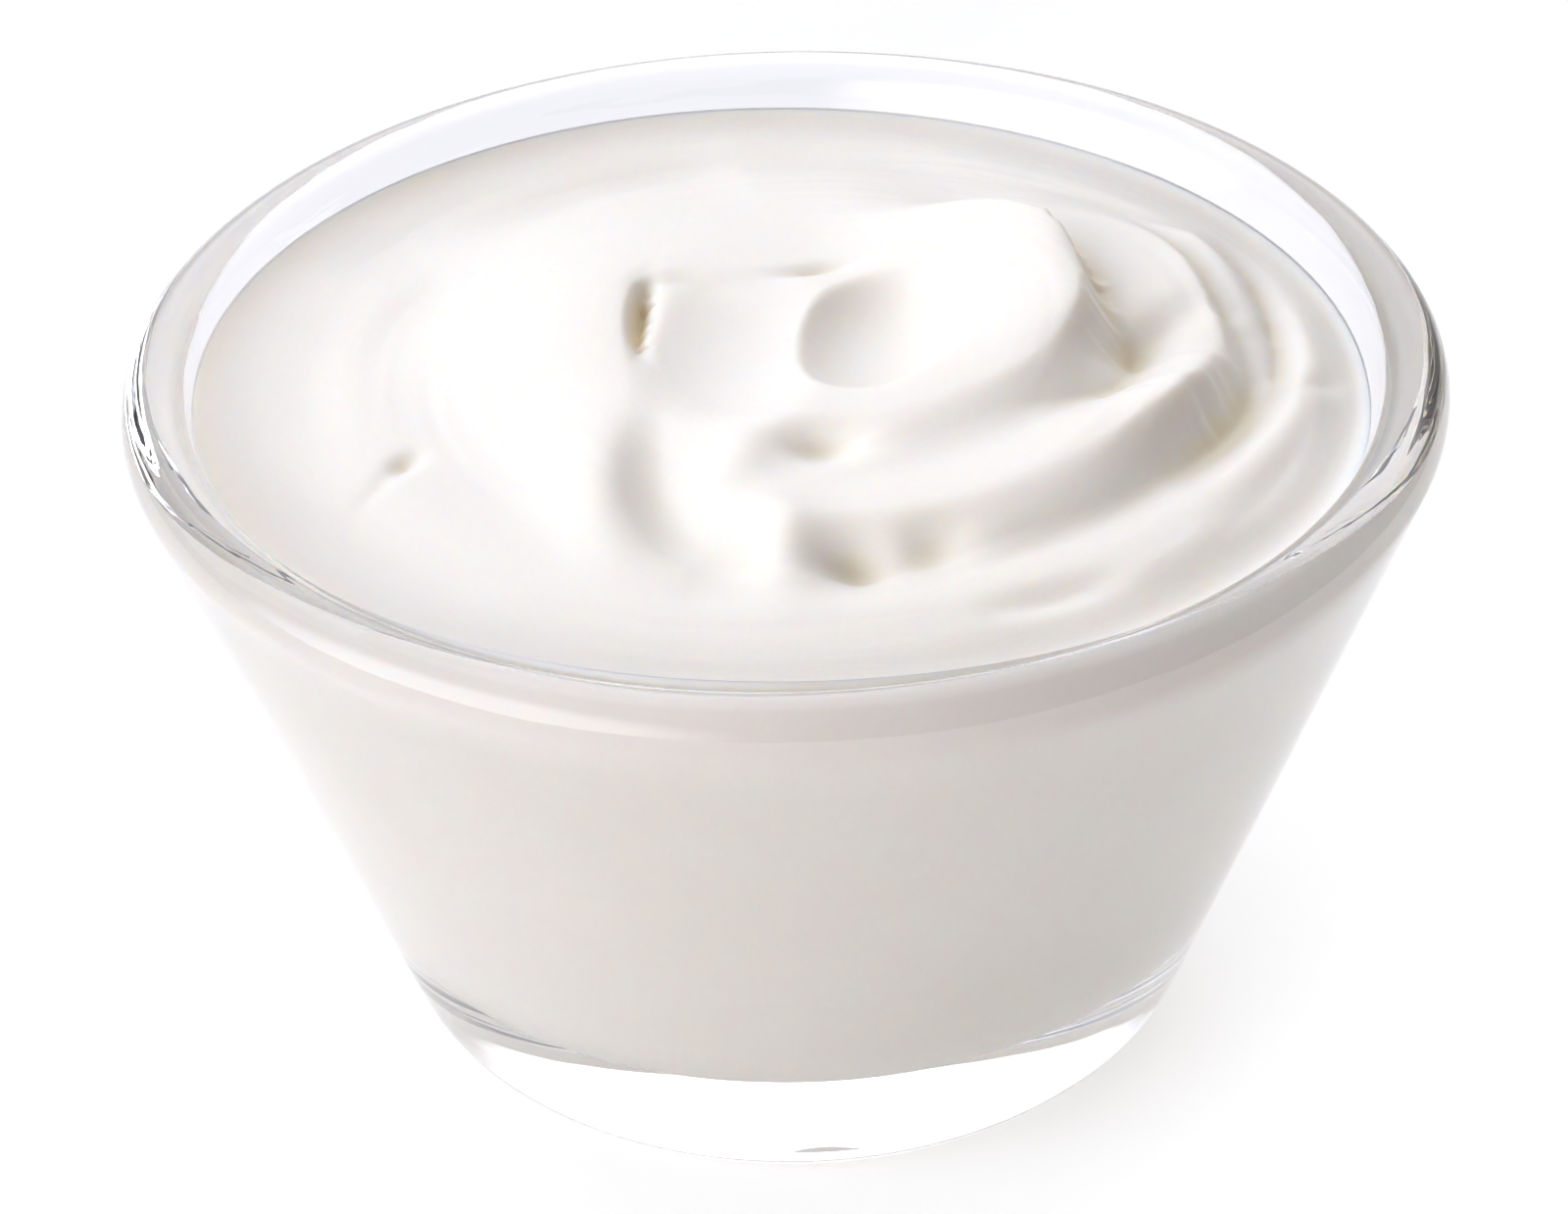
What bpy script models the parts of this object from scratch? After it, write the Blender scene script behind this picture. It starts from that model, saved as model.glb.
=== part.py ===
"""Bowl of sour cream: a thick pressed-glass bowl with a heavy base, filled to just under
its rim, and the sour cream in it, turned into folds round one eye with the back of a spoon.

The origin is the centre of the bowl's flat foot, +Z is up, and the swirl is seen from -Y.
"""

import math
from collections import namedtuple

import bmesh
import bpy
import numpy as np

MM = 0.001

# Glass bowl: a cone with a full round rim, a rounded foot and a heavy base
RIM_RADIUS = 55.0 * MM
BOWL_HEIGHT = 62.2 * MM
WALL_LEAN = math.radians(20.0)
WALL_THICKNESS = 5.7 * MM
BASE_THICKNESS = 12.0 * MM
FOOT_CORNER = 6.7 * MM
INNER_CORNER = 9.0 * MM
BOWL_STEPS = 72

# Sour cream: its level at the glass, and the grid that carries its folds
LEVEL_AT_WALL = 58.0 * MM
GAP_TO_GLASS = 0.3 * MM
CALM_EDGE = 7.0 * MM
CREAM_STEPS = 90
CREAM_RINGS = 31

# The middle of the mound stands this much above the level at the glass, out to this radius
MOUND_RISE = 3.2 * MM
MOUND_RADIUS = 29.0 * MM

# The eye that every fold turns round
EYE = (3.0 * MM, -1.0 * MM)

# How softly one fold runs into the next, and over how many degrees a fold's way is smoothed
FOLD_BLEND = 1.3 * MM
WAY_BLEND = 8.0
# A fold sinks by this much for each degree past the ends of its way
END_SINK = 0.16 * MM

# One turn of a fold's way: direction from the eye in degrees, distance of the crest from the eye,
# height of the crest, and the slopes that fall from it towards the eye and away from the eye
Turn = namedtuple("Turn", "toward reach crest inward outward")
# A fold's turns, and how round its crest is on the eye's side and on the far side
Fold = namedtuple("Fold", "turns round_inward round_outward")

# The broad roll that closes round the eye, with its lip hanging over on the right
INNER_ROLL = Fold(
    (
        Turn(100, 17.0 * MM, 61.0 * MM, 0.1, 0.15),
        Turn(78, 20.0 * MM, 62.6 * MM, 0.15, 0.3),
        Turn(62, 24.0 * MM, 63.8 * MM, 0.2, 0.8),
        Turn(48, 26.2 * MM, 65.2 * MM, 0.28, 1.7),
        Turn(30, 24.4 * MM, 66.0 * MM, 0.3, 1.9),
        Turn(10, 21.8 * MM, 65.8 * MM, 0.3, 1.5),
        Turn(-16, 18.4 * MM, 64.8 * MM, 0.28, 0.9),
        Turn(-40, 14.8 * MM, 64.2 * MM, 0.2, 0.5),
        Turn(-75, 13.0 * MM, 63.7 * MM, 0.2, 0.42),
        Turn(-115, 12.6 * MM, 63.4 * MM, 0.2, 0.45),
        Turn(-150, 12.8 * MM, 63.2 * MM, 0.2, 0.45),
        Turn(-172, 13.4 * MM, 63.0 * MM, 0.2, 1.2),
        Turn(-188, 14.2 * MM, 62.8 * MM, 0.2, 3.0),
        Turn(-206, 15.2 * MM, 62.6 * MM, 0.2, 3.0),
        Turn(-221, 17.6 * MM, 62.5 * MM, 0.2, 0.5),
        Turn(-240, 16.0 * MM, 61.0 * MM, 0.15, 0.15),
    ),
    2.0 * MM, 1.4 * MM,
)
# The next roll out, from its raised tip on the right round the front
SECOND_ROLL = Fold(
    (
        Turn(-3, 32.2 * MM, 61.2 * MM, 0.5, 1.2),
        Turn(-12, 31.2 * MM, 63.9 * MM, 0.9, 1.9),
        Turn(-29, 28.2 * MM, 63.6 * MM, 0.4, 1.2),
        Turn(-46, 26.8 * MM, 63.2 * MM, 0.24, 0.85),
        Turn(-68, 26.2 * MM, 62.7 * MM, 0.22, 0.75),
        Turn(-90, 25.4 * MM, 62.3 * MM, 0.22, 0.8),
        Turn(-108, 23.0 * MM, 61.9 * MM, 0.22, 0.6),
        Turn(-130, 18.6 * MM, 61.4 * MM, 0.22, 0.35),
        Turn(-155, 15.6 * MM, 60.8 * MM, 0.3, 0.6),
    ),
    2.0 * MM, 2.2 * MM,
)
# The broad smooth lobe at the back and left, cut off steeply along the slot beside the eye
LEFT_LOBE = Fold(
    (
        Turn(36, 17.0 * MM, 61.2 * MM, 0.1, 0.2),
        Turn(90, 14.0 * MM, 62.2 * MM, 0.1, 0.26),
        Turn(126, 17.6 * MM, 62.5 * MM, 0.1, 0.28),
        Turn(140, 19.8 * MM, 62.8 * MM, 0.8, 0.31),
        Turn(156, 17.7 * MM, 63.1 * MM, 3.0, 0.32),
        Turn(175, 16.3 * MM, 63.1 * MM, 2.6, 0.32),
        Turn(192, 16.0 * MM, 62.9 * MM, 0.6, 0.34),
        Turn(210, 18.6 * MM, 62.7 * MM, 0.4, 0.4),
        Turn(224, 23.4 * MM, 62.5 * MM, 0.34, 0.55),
        Turn(237, 30.4 * MM, 61.4 * MM, 0.34, 0.6),
        Turn(250, 33.0 * MM, 60.0 * MM, 0.4, 0.5),
    ),
    0.8 * MM, 2.6 * MM,
)
# The low table between the two rolls on the right
RIGHT_TABLE = Fold(
    (
        Turn(58, 32.0 * MM, 60.2 * MM, 0.15, 0.5),
        Turn(34, 34.6 * MM, 61.6 * MM, 0.15, 0.9),
        Turn(20, 33.6 * MM, 62.2 * MM, 0.2, 1.5),
        Turn(7, 33.0 * MM, 61.8 * MM, 0.3, 1.5),
        Turn(-4, 33.8 * MM, 60.0 * MM, 0.4, 1.2),
    ),
    1.6 * MM, 1.0 * MM,
)
# A narrow rib that stands between two grooves at the right
RIGHT_RIB = Fold(
    (
        Turn(34, 39.6 * MM, 59.8 * MM, 0.6, 0.9),
        Turn(20, 38.6 * MM, 60.6 * MM, 0.7, 1.6),
        Turn(8, 37.8 * MM, 60.4 * MM, 0.7, 1.6),
        Turn(-4, 36.4 * MM, 59.8 * MM, 0.8, 1.4),
    ),
    1.0 * MM, 1.0 * MM,
)
# The low ridge where the folds end and the calm outer ring begins
OUTER_RIDGE = Fold(
    (
        Turn(14, 42.8 * MM, 59.3 * MM, 0.4, 0.2),
        Turn(-8, 39.8 * MM, 59.8 * MM, 0.4, 0.2),
        Turn(-18, 38.4 * MM, 60.1 * MM, 0.4, 0.2),
        Turn(-55, 35.0 * MM, 60.4 * MM, 0.3, 0.24),
        Turn(-92, 35.8 * MM, 60.3 * MM, 0.2, 0.3),
        Turn(-130, 36.0 * MM, 59.9 * MM, 0.2, 0.26),
        Turn(-175, 36.4 * MM, 59.5 * MM, 0.2, 0.18),
        Turn(-205, 38.0 * MM, 58.9 * MM, 0.2, 0.12),
    ),
    1.0 * MM, 1.0 * MM,
)
FOLDS = (INNER_ROLL, SECOND_ROLL, LEFT_LOBE, RIGHT_TABLE, RIGHT_RIB, OUTER_RIDGE)

# A groove drawn round the bowl's axis, from one direction and radius to another, with its half width
# and its depth
Groove = namedtuple("Groove", "from_deg to_deg from_radius to_radius wide deep")
GROOVES = (
    Groove(66, 142, 40.6 * MM, 37.0 * MM, 3.2 * MM, 1.0 * MM),
    Groove(34, -34, 44.2 * MM, 36.6 * MM, 2.1 * MM, 1.8 * MM),
    Groove(150, 204, 40.4 * MM, 39.6 * MM, 2.4 * MM, 0.3 * MM),
    Groove(122, 182, 31.0 * MM, 35.0 * MM, 3.0 * MM, 0.35 * MM),
    Groove(196, 236, 43.0 * MM, 41.0 * MM, 2.2 * MM, 0.3 * MM),
    Groove(-10, -40, 44.0 * MM, 42.4 * MM, 1.6 * MM, 0.6 * MM),
    Groove(-50, -70, 42.0 * MM, 40.4 * MM, 1.5 * MM, 0.6 * MM),
    Groove(22, 58, 44.0 * MM, 39.0 * MM, 1.2 * MM, 0.35 * MM),
)

# A dab of the spoon: where it is from the bowl's axis, its half length and half width, the direction of
# its length in degrees, and how far it raises the cream or, below zero, presses it in
Dab = namedtuple("Dab", "x y long wide turned rise")
DABS = (
    # the pit under the inner roll's lip, and the groove that leaves it in front of the table
    Dab(26.4 * MM, 9.0 * MM, 6.0 * MM, 1.8 * MM, 100, -1.4 * MM),
    Dab(29.0 * MM, 0.4 * MM, 7.5 * MM, 2.0 * MM, 44, -1.3 * MM),
    # the slot's deepest part
    Dab(-11.8 * MM, 5.4 * MM, 4.6 * MM, 1.0 * MM, 88, -1.5 * MM),
    # the notch behind the hollow
    Dab(2.6 * MM, 12.0 * MM, 3.0 * MM, 0.9 * MM, 10, -0.7 * MM),
    # the dimple in the front of the inner roll, and the raised patch to its left
    Dab(2.8 * MM, -16.8 * MM, 3.2 * MM, 1.9 * MM, 0, -1.6 * MM),
    Dab(-3.8 * MM, -18.0 * MM, 2.8 * MM, 2.6 * MM, 0, 0.7 * MM),
    # the spur that ends the front groove, and the two deep spots beside it
    Dab(-0.4 * MM, -30.0 * MM, 4.6 * MM, 2.6 * MM, -84, 1.4 * MM),
    Dab(5.4 * MM, -30.8 * MM, 2.6 * MM, 2.4 * MM, 0, -1.7 * MM),
    Dab(11.0 * MM, -29.6 * MM, 3.0 * MM, 2.0 * MM, 20, -1.3 * MM),
    # the valley between the left lobe and the second roll
    Dab(-9.8 * MM, -22.5 * MM, 8.0 * MM, 3.4 * MM, -76, -0.9 * MM),
    # the pricked dent at the left and the crease that leaves it
    Dab(-31.0 * MM, -13.4 * MM, 1.6 * MM, 1.0 * MM, 50, -0.8 * MM),
    Dab(-33.0 * MM, -16.8 * MM, 3.4 * MM, 0.9 * MM, 62, -0.25 * MM),
    # a nick in the ring at the right
    Dab(45.0 * MM, -2.5 * MM, 3.0 * MM, 1.2 * MM, 35, -0.7 * MM),
)

# A dish that the spoon's tip left over the eye: its centre, half length and half width, the direction of
# its length in degrees, its floor, the height of its side at that length and width, how its side
# steepens, and how softly it runs out. A sharp ridge stands where the two dishes meet.
Dish = namedtuple("Dish", "x y long wide turned floor side steepens blend")
DISHES = (
    Dish(-4.8 * MM, -1.2 * MM, 10.6 * MM, 6.6 * MM, 78, 61.4 * MM, 62.7 * MM, 2.4, 1.4 * MM),
    Dish(7.2 * MM, 0.8 * MM, 9.8 * MM, 6.8 * MM, 77, 60.2 * MM, 62.9 * MM, 2.4, 0.5 * MM),
)
# The cap of cream over the eye that the dishes are pressed into
CAP_HEIGHT = 62.7 * MM
CAP_DROP = 1.4 * MM
CAP_RADIUS = 13.0 * MM


def arc(centre, radius, start, end, steps):
    """Points of an arc in the (radius, height) plane, from one angle in degrees to another."""
    angles = np.radians(np.linspace(start, end, steps + 1))
    return [(centre[0] + radius * math.cos(a), centre[1] + radius * math.sin(a)) for a in angles]


def wall_radius(height, inset):
    """Radius at a height of the cone that lies this far inside the bowl's outer wall."""
    bead = WALL_THICKNESS / 2
    bead_radius = RIM_RADIUS - bead
    bead_height = BOWL_HEIGHT - bead
    return bead_radius + (height - bead_height) * math.tan(WALL_LEAN) + (bead - inset) / math.cos(WALL_LEAN)


def corner_centre(inset, corner, floor):
    """Centre of the round corner between a flat at floor height and the cone at inset."""
    height = floor + corner
    return wall_radius(height, inset) - corner / math.cos(WALL_LEAN), height


def inner_corner(gap):
    """The round corner inside the bowl, kept this far off the glass."""
    radius = INNER_CORNER - gap
    centre = corner_centre(WALL_THICKNESS + gap, radius, BASE_THICKNESS + gap)
    return arc(centre, radius, -90, -math.degrees(WALL_LEAN), 6)


def bowl_profile():
    """The glass in section, from the axis over the inside and the rim to the foot."""
    lean = math.degrees(WALL_LEAN)
    bead = WALL_THICKNESS / 2
    bead_centre = (RIM_RADIUS - bead, BOWL_HEIGHT - bead)
    foot_centre = corner_centre(0.0, FOOT_CORNER, 0.0)
    return (
        [(0.0, BASE_THICKNESS)]
        + inner_corner(0.0)
        + arc(bead_centre, bead, 180 - lean, -lean, 10)
        + arc(foot_centre, FOOT_CORNER, -lean, -90, 5)
        + [(0.0, 0.0)]
    )


def smooth_top(a, b, blend):
    """The higher of two surfaces, run together where they meet."""
    share = np.clip(0.5 + 0.5 * (a - b) / blend, 0, 1)
    return b + (a - b) * share + blend * share * (1 - share)


def fall(distance, slope, roundness):
    """How far a flank has dropped at a distance from its rounded crest."""
    return np.sqrt((slope * distance) ** 2 + roundness**2) - roundness


def follow(fold, toward, column):
    """One value of a fold's turns, read smoothly at each direction."""
    turns = sorted(fold.turns)
    knots = [turn.toward for turn in turns]
    values = [getattr(turn, column) for turn in turns]
    shifts = np.linspace(-WAY_BLEND, WAY_BLEND, 7)
    return sum(np.interp(toward + shift, knots, values) for shift in shifts) / len(shifts)


def fold_height(fold, x, y):
    """Height of one fold over the plan, far below the cream where the fold isn't."""
    toward = np.degrees(np.arctan2(y - EYE[1], x - EYE[0]))
    reach = np.hypot(x - EYE[0], y - EYE[1])
    first = min(turn.toward for turn in fold.turns)
    last = max(turn.toward for turn in fold.turns)
    middle = (first + last) / 2
    toward = (toward - middle + 180) % 360 - 180 + middle
    past_end = np.maximum(np.maximum(first - toward, toward - last), 0)
    outside = reach - follow(fold, toward, "reach")
    inward = fall(outside, follow(fold, toward, "inward"), fold.round_inward)
    outward = fall(outside, follow(fold, toward, "outward"), fold.round_outward)
    return follow(fold, toward, "crest") - END_SINK * past_end - np.where(outside > 0, outward, inward)


def groove_depth(groove, x, y):
    """How deep one groove is pressed in over the plan. It fades in and out over its two ends."""
    span = groove.to_deg - groove.from_deg
    middle = groove.from_deg + span / 2
    toward = (np.degrees(np.arctan2(y, x)) - middle + 180) % 360 - 180
    share = np.clip(toward / span + 0.5, 0, 1)
    radius = groove.from_radius + (groove.to_radius - groove.from_radius) * share
    fade = np.sin(math.pi * share)
    return groove.deep * fade * np.exp(-(((np.hypot(x, y) - radius) / groove.wide) ** 2))


def dab_height(dab, x, y):
    """How far one dab raises the cream over the plan."""
    turned = math.radians(dab.turned)
    along = (x - dab.x) * math.cos(turned) + (y - dab.y) * math.sin(turned)
    across = (y - dab.y) * math.cos(turned) - (x - dab.x) * math.sin(turned)
    return dab.rise * np.exp(-((along / dab.long) ** 2) - (across / dab.wide) ** 2)


def dish_height(dish, x, y):
    """Height of one dish over the plan, far above the cream outside it."""
    turned = math.radians(dish.turned)
    along = (x - dish.x) * math.cos(turned) + (y - dish.y) * math.sin(turned)
    across = (y - dish.y) * math.cos(turned) - (x - dish.x) * math.sin(turned)
    out = np.hypot(along / dish.long, across / dish.wide)
    return dish.floor + (dish.side - dish.floor) * out**dish.steepens


def cream_height(x, y):
    """Height of the cream's top over the plan."""
    from_axis = np.hypot(x, y)
    height = LEVEL_AT_WALL + MOUND_RISE * np.exp(-((from_axis / MOUND_RADIUS) ** 4))
    for fold in FOLDS:
        height = smooth_top(height, fold_height(fold, x, y), FOLD_BLEND)
    from_middle = np.hypot(x - EYE[0], y - EYE[1]) / CAP_RADIUS
    height = smooth_top(height, CAP_HEIGHT - CAP_DROP * from_middle**4, FOLD_BLEND)
    for dish in DISHES:
        height = -smooth_top(-height, -dish_height(dish, x, y), dish.blend)
    height = height + sum(dab_height(dab, x, y) for dab in DABS)
    height = height - sum(groove_depth(groove, x, y) for groove in GROOVES)
    edge = wall_radius(LEVEL_AT_WALL, WALL_THICKNESS)
    calm = np.clip((from_axis - edge + CALM_EDGE) / CALM_EDGE, 0, 1)
    calm = calm * calm * (3 - 2 * calm)
    return height * (1 - calm) + LEVEL_AT_WALL * calm


def cream_profile():
    """The cream in section before it is swirled: a flat top, the side and the underside."""
    edge = wall_radius(LEVEL_AT_WALL, WALL_THICKNESS + GAP_TO_GLASS)
    top = [(edge * ring / CREAM_RINGS, LEVEL_AT_WALL) for ring in range(CREAM_RINGS + 1)]
    side_steps = 3
    corner = inner_corner(GAP_TO_GLASS)[::-1]
    ways = [step / side_steps for step in range(1, side_steps)]
    foot_radius, foot_height = corner[0]
    side = [
        (edge + (foot_radius - edge) * way, LEVEL_AT_WALL + (foot_height - LEVEL_AT_WALL) * way)
        for way in ways
    ]
    return top + side + corner + [(0.0, BASE_THICKNESS + GAP_TO_GLASS)]


def turned(profile, steps):
    """A closed turned mesh: the profile spun once round the axis."""
    mesh = bmesh.new()
    points = [mesh.verts.new((radius, 0.0, height)) for radius, height in profile]
    edges = [mesh.edges.new(pair) for pair in zip(points, points[1:])]
    bmesh.ops.spin(
        mesh, geom=points + edges, cent=(0, 0, 0), axis=(0, 0, 1), angle=2 * math.pi,
        steps=steps, use_merge=True,
    )
    bmesh.ops.remove_doubles(mesh, verts=mesh.verts, dist=1e-7)
    bmesh.ops.dissolve_degenerate(mesh, edges=mesh.edges, dist=1e-7)
    bmesh.ops.recalc_face_normals(mesh, faces=mesh.faces)
    return mesh


def add_piece(name, mesh, material):
    """The mesh as a smooth-shaded object with its material."""
    data = bpy.data.meshes.new(name)
    mesh.to_mesh(data)
    mesh.free()
    data.shade_smooth()
    data.materials.append(material)
    piece = bpy.data.objects.new(name, data)
    bpy.context.scene.collection.objects.link(piece)
    return piece


def add_material(name, colour, roughness, transmission=0.0):
    """A Principled material with no metal in it."""
    material = bpy.data.materials.new(name)
    material.use_nodes = True
    shader = material.node_tree.nodes["Principled BSDF"]
    shader.inputs["Base Color"].default_value = (*colour, 1)
    shader.inputs["Roughness"].default_value = roughness
    shader.inputs["Metallic"].default_value = 0.0
    shader.inputs["Transmission Weight"].default_value = transmission
    return material


def make_bowl():
    """The glass bowl, one solid."""
    glass = add_material("clear_glass", (1.0, 1.0, 1.0), 0.02, transmission=1.0)
    return add_piece("glass_bowl", turned(bowl_profile(), BOWL_STEPS), glass)


def make_cream():
    """The sour cream, one solid that fills the bowl, its flat top raised into the swirl."""
    mesh = turned(cream_profile(), CREAM_STEPS)
    top = [vert for vert in mesh.verts if vert.co.z > LEVEL_AT_WALL - 0.1 * MM]
    x = np.array([vert.co.x for vert in top])
    y = np.array([vert.co.y for vert in top])
    for vert, height in zip(top, cream_height(x, y)):
        vert.co.z = height
    cream = add_material("sour_cream", (0.93, 0.915, 0.875), 0.42)
    return add_piece("sour_cream", mesh, cream)


for leftover in list(bpy.data.objects):
    bpy.data.objects.remove(leftover, do_unlink=True)
make_bowl()
make_cream()
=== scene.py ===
"""Bowl of sour cream: a thick pressed-glass dip bowl, and the cream that a spoon has swirled in it."""

import math
from collections import namedtuple

import bmesh
import bpy
import numpy as np
from mathutils import Matrix, Vector


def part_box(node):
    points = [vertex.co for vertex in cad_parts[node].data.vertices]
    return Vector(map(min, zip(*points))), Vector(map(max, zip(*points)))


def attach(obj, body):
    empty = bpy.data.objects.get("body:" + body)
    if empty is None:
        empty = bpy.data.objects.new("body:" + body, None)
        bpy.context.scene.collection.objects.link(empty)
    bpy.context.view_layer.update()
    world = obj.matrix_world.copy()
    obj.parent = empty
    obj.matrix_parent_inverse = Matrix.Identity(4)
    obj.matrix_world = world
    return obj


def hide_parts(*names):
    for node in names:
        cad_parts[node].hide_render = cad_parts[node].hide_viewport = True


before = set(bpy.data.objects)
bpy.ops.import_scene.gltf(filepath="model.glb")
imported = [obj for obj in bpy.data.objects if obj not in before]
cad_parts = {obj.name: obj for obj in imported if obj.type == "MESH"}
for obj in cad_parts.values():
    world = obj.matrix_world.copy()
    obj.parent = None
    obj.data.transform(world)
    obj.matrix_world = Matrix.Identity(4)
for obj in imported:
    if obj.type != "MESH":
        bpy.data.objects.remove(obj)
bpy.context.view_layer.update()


# Glass bowl
# One piece of thick, clear, colourless soda glass, pressed in a mould and fire polished: a cone with a
# full round rim, a rounded foot and a heavy base. Its section is drawn once and spun round the axis.
MM = 0.001
bowl_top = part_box("glass_bowl")[1]
RIM_RADIUS = bowl_top.x
BOWL_HEIGHT = bowl_top.z
WALL_LEAN = math.radians(20.0)
WALL_THICKNESS = 5.7 * MM
BASE_THICKNESS = 12.0 * MM
FOOT_CORNER = 6.7 * MM
INNER_CORNER = 9.0 * MM
BOWL_STEPS = 240
CORNER_STEPS = 14
RIM_STEPS = 32
FLAT_STEPS = 14
INNER_WALL_STEPS = 26
OUTER_WALL_STEPS = 30
# Points nearer than this are in one place
SAME_PLACE = 0.001 * MM
# How far below the rim's top its painted shade (a greyer tint of the glass) and its drag lines begin, and
# where they are full
RIM_BEGINS = 6 * MM
RIM_FULL = 3 * MM
# How far the surface's waves are drawn out up the wall
WAVES_UP = 0.35
# How places on the rim are squeezed round the axis, and spread across it, to draw lines along the rim
SQUEEZE = 0.12
SPREAD = 0.7


def wall_radius(height, inset):
    """Radius at a height of the cone that lies this far inside the bowl's outer wall."""
    bead = WALL_THICKNESS / 2
    up = height - (BOWL_HEIGHT - bead)
    return RIM_RADIUS - bead + up * math.tan(WALL_LEAN) + (bead - inset) / math.cos(WALL_LEAN)


def corner_centre(inset, corner, floor):
    """Centre of the round corner between a flat at floor height and the cone at inset."""
    height = floor + corner
    return wall_radius(height, inset) - corner / math.cos(WALL_LEAN), height


def draw_line(section, pen, radius, height, steps):
    """Draws a straight line of the section from the pen and returns the pen at its end."""
    step = (Vector((radius, 0, height)) - pen.co) / steps
    for _ in range(steps):
        pen = bmesh.ops.extrude_vert_indiv(section, verts=[pen])["verts"][0]
        bmesh.ops.translate(section, verts=[pen], vec=step)
    return pen


def draw_arc(section, pen, centre, degrees, steps):
    """Draws a round corner of the section from the pen and returns the pen at its end."""
    drawn = bmesh.ops.spin(
        section, geom=[pen], cent=(centre[0], 0, centre[1]), axis=(0, -1, 0),
        angle=math.radians(degrees), steps=steps,
    )
    return drawn["geom_last"][0]


def spin_section(section, steps):
    """Spins the section once round the axis and closes it."""
    bmesh.ops.spin(
        section, geom=section.verts[:] + section.edges[:], cent=(0, 0, 0), axis=(0, 0, 1),
        angle=2 * math.pi, steps=steps, use_merge=True,
    )
    bmesh.ops.remove_doubles(section, verts=section.verts, dist=SAME_PLACE)
    bmesh.ops.dissolve_degenerate(section, edges=section.edges, dist=SAME_PLACE)
    bmesh.ops.recalc_face_normals(section, faces=section.faces)


def add_piece(name, shape, material):
    """Makes the shape a smooth-shaded object that rides on the bowl's one body."""
    mesh = bpy.data.meshes.new(name)
    shape.to_mesh(mesh)
    shape.free()
    mesh.shade_smooth()
    mesh.materials.append(material)
    piece = bpy.data.objects.new(name, mesh)
    bpy.context.scene.collection.objects.link(piece)
    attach(piece, "root")
    return piece


lean = math.degrees(WALL_LEAN)
bead = WALL_THICKNESS / 2
floor_corner = corner_centre(WALL_THICKNESS, INNER_CORNER, BASE_THICKNESS)
foot_corner = corner_centre(0, FOOT_CORNER, 0)
rim_bead = (RIM_RADIUS - bead, BOWL_HEIGHT - bead)
inner_wall_top = (rim_bead[0] - bead * math.cos(WALL_LEAN), rim_bead[1] + bead * math.sin(WALL_LEAN))
outer_wall_foot = (
    foot_corner[0] + FOOT_CORNER * math.cos(WALL_LEAN),
    foot_corner[1] - FOOT_CORNER * math.sin(WALL_LEAN),
)
glass_shape = bmesh.new()
pen = glass_shape.verts.new((0, 0, BASE_THICKNESS))
pen = draw_line(glass_shape, pen, floor_corner[0], BASE_THICKNESS, FLAT_STEPS)
pen = draw_arc(glass_shape, pen, floor_corner, 90 - lean, CORNER_STEPS)
pen = draw_line(glass_shape, pen, *inner_wall_top, INNER_WALL_STEPS)
pen = draw_arc(glass_shape, pen, rim_bead, -180, RIM_STEPS)
pen = draw_line(glass_shape, pen, *outer_wall_foot, OUTER_WALL_STEPS)
pen = draw_arc(glass_shape, pen, foot_corner, lean - 90, CORNER_STEPS)
pen = draw_line(glass_shape, pen, 0, 0, FLAT_STEPS)
spin_section(glass_shape, BOWL_STEPS)

clear_glass = bpy.data.materials.new("clear_glass")
clear_glass.use_nodes = True
nodes, links = clear_glass.node_tree.nodes, clear_glass.node_tree.links
shader = nodes["Principled BSDF"]
shader.inputs["Transmission Weight"].default_value = 1
shader.inputs["IOR"].default_value = 1.5
place = nodes.new("ShaderNodeTexCoord")
stretch = nodes.new("ShaderNodeMapping")
stretch.inputs["Scale"].default_value = (1, 1, WAVES_UP)
links.new(place.outputs["Object"], stretch.inputs["Vector"])
# how far a place is up the rim, where the glass is thickest to look through and where it is tinted greyer
# as painted shade
split = nodes.new("ShaderNodeSeparateXYZ")
links.new(place.outputs["Object"], split.inputs["Vector"])
on_rim = nodes.new("ShaderNodeMapRange")
on_rim.inputs["From Min"].default_value = BOWL_HEIGHT - RIM_BEGINS
on_rim.inputs["From Max"].default_value = BOWL_HEIGHT - RIM_FULL
links.new(split.outputs["Z"], on_rim.inputs["Value"])
# painted shade: the clear glass is tinted greyer and a little lavender up the rim, for the rim's darker
# look
rim_painted_shade = nodes.new("ShaderNodeMix")
rim_painted_shade.data_type = "RGBA"
rim_painted_shade.inputs["A"].default_value = (0.985, 0.983, 0.992, 1)
rim_painted_shade.inputs["B"].default_value = (0.930, 0.928, 0.948, 1)
links.new(on_rim.outputs["Result"], rim_painted_shade.inputs["Factor"])
links.new(rim_painted_shade.outputs["Result"], shader.inputs["Base Color"])
# the slow waves that the mould and the polishing flame leave in the surface
waves = nodes.new("ShaderNodeTexNoise")
waves.inputs["Scale"].default_value = 70
waves.inputs["Detail"].default_value = 1.5
links.new(stretch.outputs["Vector"], waves.inputs["Vector"])
dents = nodes.new("ShaderNodeBump")
dents.inputs["Strength"].default_value = 0.6
dents.inputs["Distance"].default_value = 0.25 * MM
links.new(waves.outputs["Fac"], dents.inputs["Height"])
# fine drag lines that run round the rim
drag = nodes.new("ShaderNodeAttribute")
drag.attribute_name = "round_the_rim"
drag_lines = nodes.new("ShaderNodeTexNoise")
drag_lines.inputs["Scale"].default_value = 320
drag_lines.inputs["Detail"].default_value = 2.5
links.new(drag.outputs["Vector"], drag_lines.inputs["Vector"])
drag_bump = nodes.new("ShaderNodeBump")
drag_bump.inputs["Distance"].default_value = 0.16 * MM
links.new(on_rim.outputs["Result"], drag_bump.inputs["Strength"])
links.new(drag_lines.outputs["Fac"], drag_bump.inputs["Height"])
links.new(dents.outputs["Normal"], drag_bump.inputs["Normal"])
links.new(drag_bump.outputs["Normal"], shader.inputs["Normal"])
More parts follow.
